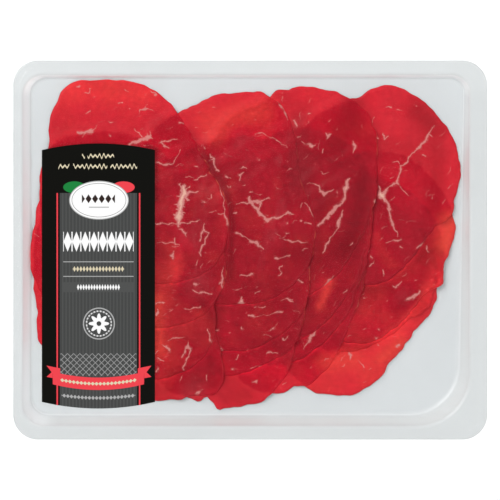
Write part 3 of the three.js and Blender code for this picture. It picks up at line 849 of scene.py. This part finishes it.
    [(64, -48, 0.5), (64.2, -48.2, 0.4)],
    [(73.4, -48.3, 0.6), (74.9, -47.9, 0.8)],
    [(49.7, -50.3, 0.15), (50.2, -52.7, 0.7), (50.1, -55, 0.25)],
    [(37.5, -55.5, 0.3), (39.9, -54.2, 0.15)],
    [(54.4, -55.5, 0.12), (57.2, -58.6, 0.25)],
    [(54.5, -27.4, 0.5), (53.8, -30.4, 0.3)],
]


def topmostAt(x, y):  # the number of the slice that shows at a point, or ends within a millimetre of it
    return max(number for number, piece in enumerate(pile) if beyond(piece, x, y) < 1)


def flecksOf(piece):  # short threads of fat along the grain, at random
    chance = random.Random(7 * piece["column"] + 31 * piece["row"])
    area, bend = meat["fleckArea"], meat["fleckBend"]
    first, last = meat["fleckEnds"]
    made = []
    while len(made) < meat["flecks"]:
        x, y = (piece[axis] + chance.uniform(-area, area) for axis in "xy")
        if beyond(piece, x, y) > -meat["fleckMargin"]:
            continue
        turn = math.radians(meat["grain"][piece["column"]] + chance.gauss(0, meat["fleckTurn"]))
        half = chance.uniform(*meat["fleckLength"]) / 2
        width = chance.uniform(*meat["fleckWidth"])
        dx, dy = half * math.cos(turn), half * math.sin(turn)
        middle = (x, y + chance.uniform(-bend, bend), width)
        path = [(x - dx, y - dy, first * width), middle, (x + dx, y + dy, last * width)]
        made.append((chance.uniform(*meat["fleckStrength"]), path))
    return made


for piece in slices:
    piece["strokes"] = flecksOf(piece)
for vein in veins:
    x, y, _ = vein[len(vein) // 2]
    pile[topmostAt(x, y)]["strokes"].append((meat["veinStrength"], vein))


def wander(x, y):  # veins don't run straight: waves of uneven length shift them both ways
    slow, quick = meat["wander"]
    across = slow * np.sin(1.1 * y + 1.9 * np.sin(0.8 * x))
    across = across + quick * np.sin(3.7 * y + 1.6 * np.sin(2.2 * x))
    along = slow * np.sin(1.2 * x + 1.7 * np.sin(0.9 * y) + 2)
    along = along + quick * np.sin(3.3 * x - 1.8 * np.sin(2.6 * y))
    return x + across, y + along


def veinsAt(strokes, x, y):  # a value, near 0 at a vein's edge and higher inside, and the way to the edge
    x, y = wander(x, y)
    limit, reach = meat["veinLimit"], meat["veinReach"]
    fat, gap = np.full(len(x), -limit), np.full(len(x), far)
    for strength, path in strokes:
        for start, end in zip(path, path[1:]):
            (left, right), (low, high) = (sorted((start[axis], end[axis])) for axis in (0, 1))
            around = (x > left - reach) & (x < right + reach) & (y > low - reach) & (y < high + reach)
            near = np.flatnonzero(around)
            away, width = nearest(*start, *end, x[near], y[near])
            width = width * meat["veinShare"]
            soft = np.minimum(width, meat["veinSoft"])
            fat[near] = np.maximum(fat[near], strength - 1 + (width - away) / soft)
            gap[near] = np.minimum(gap[near], away - width)
    return np.clip(fat, -limit, limit), gap


def lieFlat(bm, piece):  # a sphere becomes a thin slab with the slice's outline, from -1 to 1 in height
    co = np.array([vert.co for vert in bm.verts])
    angle = np.degrees(np.arctan2(co[:, 1], co[:, 0]))
    fromPole = np.arccos(np.clip(np.abs(co[:, 2]), 0, 1)) / (math.pi / 2)
    share = 1 - (1 - fromPole) ** meat["crowding"]
    radius = outlineRadius(piece, angle)
    x = piece["x"] + piece.get("wide", 1) * share * radius * np.cos(np.radians(angle))
    y = piece["y"] + piece.get("tall", 1) * share * radius * np.sin(np.radians(angle))
    inFromEdge = np.clip((1 - share) * radius / np.where(co[:, 2] > 0, *meat["edgeRound"]), 0, 1)
    face = np.sign(np.round(co[:, 2], 4))
    z = meat["rimLevel"] + (face - meat["rimLevel"]) * np.abs(face) * (1 - (1 - inFromEdge) ** 2)
    for vert, point in zip(bm.verts, zip(x, y, z)):
        vert.co = point


def refine(bm, number, reach, lowerEdges):  # halves the upper face's edges near a vein or a lower edge
    co = np.array([vert.co for vert in bm.verts])
    x, y = co[:, 0], co[:, 1]
    gap = veinsAt(pile[number]["strokes"], x, y)[1]
    below = [beyond(piece, x, y) for piece in pile[:number]] if lowerEdges else []
    layers = sum(((away < 0).astype(int) for away in below), 0 * x)
    for away in below:
        gap = np.where(layers < meat["refineLayers"], np.minimum(gap, np.abs(away)), gap)
    above = [beyond(piece, x, y) for piece in pile[number + 1:]] or [x * 0 + far]
    shown = np.min(above, axis=0) > -meat["refineUnder"]
    near = (gap < reach) & shown & (co[:, 2] > meat["refineLevel"])
    bm.verts.index_update()
    edges = [edge for edge in bm.edges if near[edge.verts[0].index] and near[edge.verts[1].index]]
    bmesh.ops.subdivide_edges(bm, edges=edges, cuts=1, use_grid_fill=True)


def toRight(piece, x, y):  # 1 where a slice's outline faces right, 0 where it faces up, down or left
    across, along = x - piece["x"], y - piece["y"]
    return smooth(*meat["facing"], across / (np.hypot(across, along) + 1e-6))


def besideAbove(number, gaps, x, y):  # the painted shade beside the slices above, and the painted light that lifts the creases
    shade, paintedLift = 0 * x, 0 * x
    lower, right = meat["creasePaintedLight"]
    least = meat["shadeLeast"]
    for piece, gap in zip(pile[number + 1:], gaps[number + 1:]):
        facing = toRight(piece, x, y)
        away = np.clip(gap, 0, meat["shadeLimit"])
        darker = (least + (1 - least) * facing) * np.exp(-away / meat["shadeReach"])
        lighter = (lower + (right - lower) * facing) * np.exp(-away / meat["creaseReach"])
        shade, paintedLift = np.maximum(shade, darker), np.maximum(paintedLift, lighter)
    return shade, paintedLift


def sliceValues(number, gaps, x, y):  # what the finish reads at each point
    layers = sum((1 - smooth(*meat["layerEdge"], gap) for gap in gaps[:number]), 0 * x)
    edge = np.clip(-gaps[number], 0, meat["edgeMost"])
    shade, paintedLift = besideAbove(number, gaps, x, y)
    # painted light along the slice's own edge, on top of the painted light in the creases
    paintedLift = paintedLift + meat["rimLift"] * np.exp(-edge / meat["rimReach"])
    lightness = np.clip(layers, meat["leastLayers"], 1) * paintedLift
    warmth = x * 0 + pile[number].get("warmth", 0)
    for lighter, warmer, path in patches:
        share = softness(path, x, y)
        lightness = lightness + lighter * share
        warmth = warmth + warmer * share
    return {
        "layers": layers,
        "fat": veinsAt(pile[number]["strokes"], x, y)[0],
        # edges that don't face right count as farther in, so the painted rim highlight stays off them
        "edge": edge + meat["edgeAway"] * (1 - toRight(pile[number], x, y)),
        "shade": shade,
        "lightness": lightness,
        "warmth": warmth,
    }


def makeSlice(number, finish):
    piece = pile[number]
    bm = bmesh.new()
    bmesh.ops.create_uvsphere(bm, u_segments=meat["sides"], v_segments=2 * meat["rings"], radius=1)
    lieFlat(bm, piece)
    for reach, lowerEdges in meat["refining"]:
        refine(bm, number, reach, lowerEdges)
    co = np.array([vert.co for vert in bm.verts])
    x, y = co[:, 0], co[:, 1]
    gaps = gapsAt(x, y)
    height = heightAt(number, gaps, x, y) + meat["thickness"] * (0.5 + co[:, 2] / 2)
    for vert, z in zip(bm.verts, height):
        vert.co.z = z
    name = f"c{piece['column']}_r{piece['row']}"
    made = addPiece(f"beef_{name}", bm, finish, "meat", f"slice_{name}")
    for key, values in sliceValues(number, gaps, x, y).items():
        attribute = made.data.attributes.new(key, "FLOAT", "POINT")
        attribute.data.foreach_set("value", values.astype(np.float32))
    return made


beef = {
    "through": [  # the meat's colour by how many slices lie below, in shares of mostLayers
        (0.0, (0.70, 0.021, 0.036)),
        (0.2, (0.54, 0.006, 0.021)),
        (0.4, (0.42, 0.006, 0.019)),
        (0.8, (0.35, 0.007, 0.018)),
    ],
    "mostLayers": 5,
    "warm": (0.86, 0.085, 0.05),
    "grey": (0.37, 0.042, 0.052),
    "thinFat": (0.62, 0.235, 0.215),
    "fat": (0.72, 0.42, 0.32),
    # painted highlight: the pale-orange line inside the slices' right-facing edges, and its share in each
    # column
    "rim": (0.85, 0.20, 0.11),
    "rimShare": {1: 0.5, 2: 0.45, 3: 0.25, 4: 0.12},
    "shade": (0.20, 0.008, 0.014),
    "blotchSize": 11, "mottleSize": 2.4, "fineSize": 0.8,
    "fibreStretch": (0.28, 1.9, 1.9),  # how dense the fibres are along the grain and across it
    "layersByBlotch": 0.9, "warmthByBlotch": 0.35,
    "tone": 0.885, "toneByFibre": 0.28, "toneByMottle": 0.33,
    "deep": (0.2, 1.6),  # over this many layers the tone grows uneven, by these shares more
    "deepTone": 0.7, "deepByFine": 0.35, "deepByBlotch": 0.1,
    "shadeShare": 0.1, "shadeByBlotch": 0.55,
    "fatByFine": 2.3, "fatByMottle": 1.7,  # how ragged the veins are
    "fatColours": [  # vein values between which a colour sets in, its share and its name
        ((-1.5, 0.3), 0.2, "thinFat"),
        ((-0.05, 0.5), 0.74, "thinFat"),
        ((1.2, 2.8), 0.9, "fat"),
    ],
    "speckShare": 0.22,
    "reliefOf": (0.5, 0.25, 0.4),  # the fibres, the fine noise and the veins
    "bump": (0.35, 0.22),  # strength and distance
    "roughness": (0.36, 0.16),  # and what the fibres add to it
    "specular": 0.08,
}


def beefFinish(column):
    finish = newFinish(f"beef{column}")
    at = finish.place()
    alongGrain = finish.place(turn=-meat["grain"][column], stretch=beef["fibreStretch"])
    blotch = finish.noise(at, beef["blotchSize"], detail=3)
    mottle = finish.noise(at, beef["mottleSize"], detail=3)
    fine = finish.noise(at, beef["fineSize"], detail=3, roughness=0.6)
    fibre = finish.noise(alongGrain, 1, detail=4, roughness=0.65)

    layers = finish.attribute("layers") + (blotch - 0.5) * beef["layersByBlotch"]
    ramp = finish.node("ShaderNodeValToRGB", {"stops": beef["through"]}, {0: layers / beef["mostLayers"]})
    warmth = finish.attribute("warmth") + (blotch - 0.5) * beef["warmthByBlotch"]
    colour = finish.mix(warmth.clamped(), ramp, beef["warm"])
    colour = finish.mix((warmth * -1).clamped(), colour, beef["grey"])

    uneven = (fibre - 0.5) * beef["toneByFibre"] + (mottle - 0.5) * beef["toneByMottle"]
    deeper = (fine - 0.5) * beef["deepByFine"] + (blotch - 0.5) * beef["deepByBlotch"]
    uneven = uneven + layers.step(*beef["deep"]) * (uneven * beef["deepTone"] + deeper)
    # this attribute holds the painted light at creases and edges, the patches' painted shade and highlight,
    # and uneven tone
    tone = (uneven + beef["tone"]) * finish.maths("POWER", 2, finish.attribute("lightness"))
    colour = finish.dim(colour, tone)
    shade = finish.attribute("shade") * (blotch.step(0.3, 0.6) * beef["shadeByBlotch"] + beef["shadeShare"])
    colour = finish.mix(shade, colour, beef["shade"])

    # painted highlight: a thin pale-orange line just inside the right-facing edges, broken up by the noise
    edge = finish.attribute("edge")
    rim = (1 - edge.step(0.15, 0.7)) * mottle.step(0.4, 0.6) * blotch.step(0.45, 0.6)
    colour = finish.mix(rim * beef["rimShare"][column], colour, beef["rim"])
    fat = finish.attribute("fat") + (fine - 0.5) * beef["fatByFine"] + (mottle - 0.5) * beef["fatByMottle"]
    for (low, high), share, paint in beef["fatColours"]:
        colour = finish.mix(fat.step(low, high) * share, colour, beef[paint])
    speck = mottle.step(0.62, 0.74) * fine.step(0.5, 0.7) * beef["speckShare"]
    colour = finish.mix(speck, colour, beef["thinFat"])

    ofFibre, ofFine, ofFat = beef["reliefOf"]
    relief = fibre * ofFibre + fine * ofFine + fat.step(-0.2, 0.6) * ofFat
    rough, roughByFibre = beef["roughness"]
    return finish.surface({
        "Base Color": colour,
        "Roughness": rough + fibre * roughByFibre,
        "Specular IOR Level": beef["specular"],
        "Normal": finish.bump(relief, *beef["bump"]),
    })


finishes = {column: beefFinish(column) for column in (1, 2, 3, 4)}
for number, piece in enumerate(pile):
    made = makeSlice(number, finishes[piece["column"]])
    print(made.name, len(made.data.polygons), "faces")


# Label: printed sheet on the film, with plain shapes and fields of colour

label = {
    "middle": (-75.9, -13), "width": 56.6, "side": 126, "bow": 3.3, "low": 13.22, "thickness": 0.16,
    "acrossSteps": 24, "alongSteps": 54,
    "edgeFade": 0.14,  # how soft the edges of the printed shapes are
    "roughness": 0.42, "specular": 0.06,
    # places and half widths on the label, from its middle
    "panelHalf": 19.3, "panelTop": 41.5,
    "stripePitch": 1.7, "stripeHalf": 0.35,
    "sideLine": 20.6, "sideLineHalf": 0.36,
    "ovalMiddle": (0.25, 37.9),
    "rowHalf": 17.6,
    "rosetteMiddle": (0.25, -23.8), "petals": 8,
    "latticePitch": 3.1, "latticeHalf": 0.2,
    "ribbonHalf": 22.8, "ribbonLevel": -53.9, "ribbonBend": 0.0055,
    "ink": {
        "black": (0.004, 0.004, 0.003), "panel": (0.056, 0.058, 0.057), "stripe": (0.075, 0.077, 0.076),
        "red": (0.80, 0.055, 0.072), "darkRed": (0.30, 0.018, 0.026), "dark": (0.03, 0.018, 0.016),
        "green": (0.012, 0.21, 0.045), "cream": (0.68, 0.60, 0.42),
        "white": (0.9, 0.9, 0.9), "pale": (0.40, 0.40, 0.40),
    },
}


def labelFinish():
    finish = newFinish("labelPrint")
    x, y, _ = finish.split(finish.place(shift=(-label["middle"][0], -label["middle"][1], 0)))
    ink = label["ink"]

    def inside(gap):  # 1 where a gap in millimetres is above 0
        return (gap / label["edgeFade"] + 0.5).clamped()

    def within(value, half):
        return inside(half - abs(value))

    def box(middleX, middleY, halfX, halfY):
        return within(x - middleX, halfX) * within(y - middleY, halfY)

    def repeats(value, pitch):  # the way to the middle of the nearest of the things that repeat
        turns = value / pitch
        return (turns - finish.maths("FLOOR", turns) - 0.5) * pitch

    def lozenges(level, halfX, pitch, halfY):
        gap = 1 - abs(repeats(x, pitch)) / (0.46 * pitch) - abs(y - level) / halfY
        return inside(gap * 0.4 * pitch) * within(x, halfX)

    def scroll(level, low, high):  # a thin wavy line, taller here and there
        swing = finish.maths("SINE", x * 2.9) * (finish.maths("SINE", x * 0.83) * 0.3 + 0.75)
        return within(y - level - swing, 0.5) * within(x - (low + high) / 2, (high - low) / 2)

    def radiusAt(middleX, middleY, halfX, halfY):
        across, along = (x - middleX) / halfX, (y - middleY) / halfY
        return finish.maths("SQRT", across * across + along * along)

    def oval(middleX, middleY, halfX, halfY):
        return inside((1 - radiusAt(middleX, middleY, halfX, halfY)) * halfY)

    fromTop = label["panelTop"] - y
    panel = within(x, label["panelHalf"]) * inside(fromTop)
    stripes = within(repeats(x, label["stripePitch"]), label["stripeHalf"])
    colour = finish.mix(panel, ink["black"], ink["panel"])
    colour = finish.mix(panel * stripes, colour, ink["stripe"])
    sideLines = within(abs(x) - label["sideLine"], label["sideLineHalf"]) * inside(fromTop)
    colour = finish.mix(sideLines, colour, ink["red"])

    middle = label["ovalMiddle"]
    row = label["rowHalf"]
    roseX, roseY = label["rosetteMiddle"]
    fromRose = radiusAt(roseX, roseY, 1, 1)
    turn = finish.maths("ARCTAN2", y - roseY, x - roseX)
    flower = fromRose - finish.maths("COSINE", turn * label["petals"]) * 1.1
    pitch, half = label["latticePitch"], label["latticeHalf"]
    rising, falling = (within(repeats(line, pitch), half) for line in (x - y, x + y))
    lattice = finish.maths("MAXIMUM", falling, rising)

    # the ribbon hangs a little at its ends, where it is folded back into two tails
    ribbon = y - label["ribbonLevel"] - x * x * label["ribbonBend"]
    tailEnd = abs(x - 0.3) - label["ribbonHalf"]
    tailLevel = y + 48.3 - tailEnd * 0.2
    tail = within(tailLevel, 2.8) * within(tailEnd, 3.4) * inside(0.9 - tailEnd + abs(tailLevel) * 0.9)
    fold = within(abs(x) - 21.1, 1.8) * within(y + 51, 2.2)

    fields = [
        (scroll(60, -8.2, -6.8), "cream"),
        (scroll(60, -5.4, 7.8), "cream"),
        (scroll(54.8, -20, -14.6), "cream"),
        (scroll(54.8, -12.6, 4.4), "cream"),
        (scroll(54.8, 6, 19.3), "cream"),
        (oval(-12, 44.4, 5.6, 2.9), "green"),
        (oval(12.5, 44.4, 5.6, 2.9), "red"),
        (oval(*middle, 14.9, 9.7), "pale"),
        (oval(*middle, 14.5, 9.3), "white"),
        (oval(*middle, 13.6, 8.5) * (1 - oval(*middle, 13.4, 8.3)), "dark"),
        (lozenges(38.6, 8.3, 3.3, 2.2) * within(x, 8.3), "dark"),
        (box(0.25, 34.4, 5, 0.25), "pale"),
        (lozenges(17.2, row, 4.4, 5), "white"),
        (within(repeats(x + 2.2, 4.4), 0.3) * box(0, 17.2, row, 4.9), "white"),
        (box(0, 7.1, row, 0.2), "pale"),
        (box(0, -0.2, row, 0.2), "pale"),
        (lozenges(3.5, 13, 1.6, 1.4), "cream"),
        (box(0, -5.6, row, 2.5), "stripe"),
        (lozenges(-5.6, 10.8, 1.35, 1.5), "white"),
        (within(fromRose - 7.7, 0.3), "pale"),
        (within(fromRose - 6.2, 0.35) * within(repeats(turn, 0.26), 0.06), "white"),
        (inside(4 - flower), "white"),
        (inside(1.2 - fromRose), "panel"),
        (lattice * box(0, -44.3, 19, 5.6) * 0.75, "pale"),
        (tail, "red"),
        (fold, "darkRed"),
        (within(ribbon, 3.1) * within(x, label["ribbonHalf"]), "red"),
        (within(abs(repeats(x, 1.9)) * 0.9 + abs(ribbon), 0.95) * within(x, 19), "cream"),
        (within(abs(repeats(x, 1.8)) * 1.1 + abs(y + 61 - x * x * 0.004), 1) * within(x, 18.4), "pale"),
    ]
    for mask, paint in fields:
        colour = finish.mix(mask, colour, ink[paint])
    return finish.surface({
        "Base Color": colour,
        "Roughness": label["roughness"],
        "Specular IOR Level": label["specular"],
    })


def makeLabel():
    middleX, middleY = label["middle"]
    bm = bmesh.new()
    bmesh.ops.create_grid(bm, x_segments=label["acrossSteps"], y_segments=label["alongSteps"], size=1)
    for vert in bm.verts:
        across, along = vert.co.x, vert.co.y
        end = label["side"] / 2 + label["bow"] * (1 - across**2)
        x, y = middleX + across * label["width"] / 2, middleY + along * end
        vert.co = Vector((x, y, label["low"] + label["thickness"]))
    piece = addPiece("label_print", bm, labelFinish(), "label", "label", softShade=False)
    thicken(piece, label["thickness"])
    passLight(piece)


# Film: one clear sheet across the rim

film = {
    "low": 13.06, "thickness": 0.1, "inset": 0.4, "rings": 26,
    "slack": 0.12,
    "slackFrom": 12,  # how far in from the rim's edge it begins to hang
    "labelSide": 32,  # and how far to the right of the label's middle
    "slackFade": 20,
    "roughness": 0.07,
    "least": 0.003,  # how much it mirrors straight on
    "gloss": 0.16, "glossPower": 4,  # and how much more at a slant
}


def filmWave(x, y):  # slack only inside the well and off the label
    fromRim = min(tray["length"] / 2 - abs(x), tray["width"] / 2 - abs(y)) - film["slackFrom"]
    fromLabel = x - label["middle"][0] - film["labelSide"]
    inWell, offLabel = (max(0, min(1, away / film["slackFade"])) for away in (fromRim, fromLabel))
    wave = math.sin(x / 13 + math.sin(y / 21)) * math.cos(y / 17 - x / 40) - 0.6
    return film["slack"] * (inWell * offLabel) * wave


def filmLoops():
    outer = roundedLoop(insetBy(more=film["inset"]), evenRadii(tray["rimRadius"] - film["inset"]), 0)
    loops = []
    for ring in range(film["rings"]):
        share = 1 - (ring / film["rings"])
        loop = [point * share for point in outer]
        for point in loop:
            point.z = film["low"] + film["thickness"] + filmWave(point.x, point.y)
        loops.append(loop)
    return loops


def filmFinish():
    finish = newFinish("clearFilm")
    slant = finish.node("ShaderNodeLayerWeight", {}, {"Blend": 0.5}, out="Facing")
    return finish.surface({
        "Base Color": (1, 1, 1, 1),
        "Metallic": 1.0,
        "Roughness": film["roughness"],
        "Alpha": finish.maths("POWER", slant, film["glossPower"]) * film["gloss"] + film["least"],
    })


def makeFilm():
    bm = bmesh.new()
    ring = drawLoops(bm, filmLoops())
    bmesh.ops.contextual_create(bm, geom=ring)
    bmesh.ops.recalc_face_normals(bm, faces=bm.faces)
    piece = addPiece("film_sheet", bm, filmFinish(), "film", "film")
    thicken(piece, film["thickness"])
    passLight(piece)


makeFilm()
makeLabel()
print("film and label made")
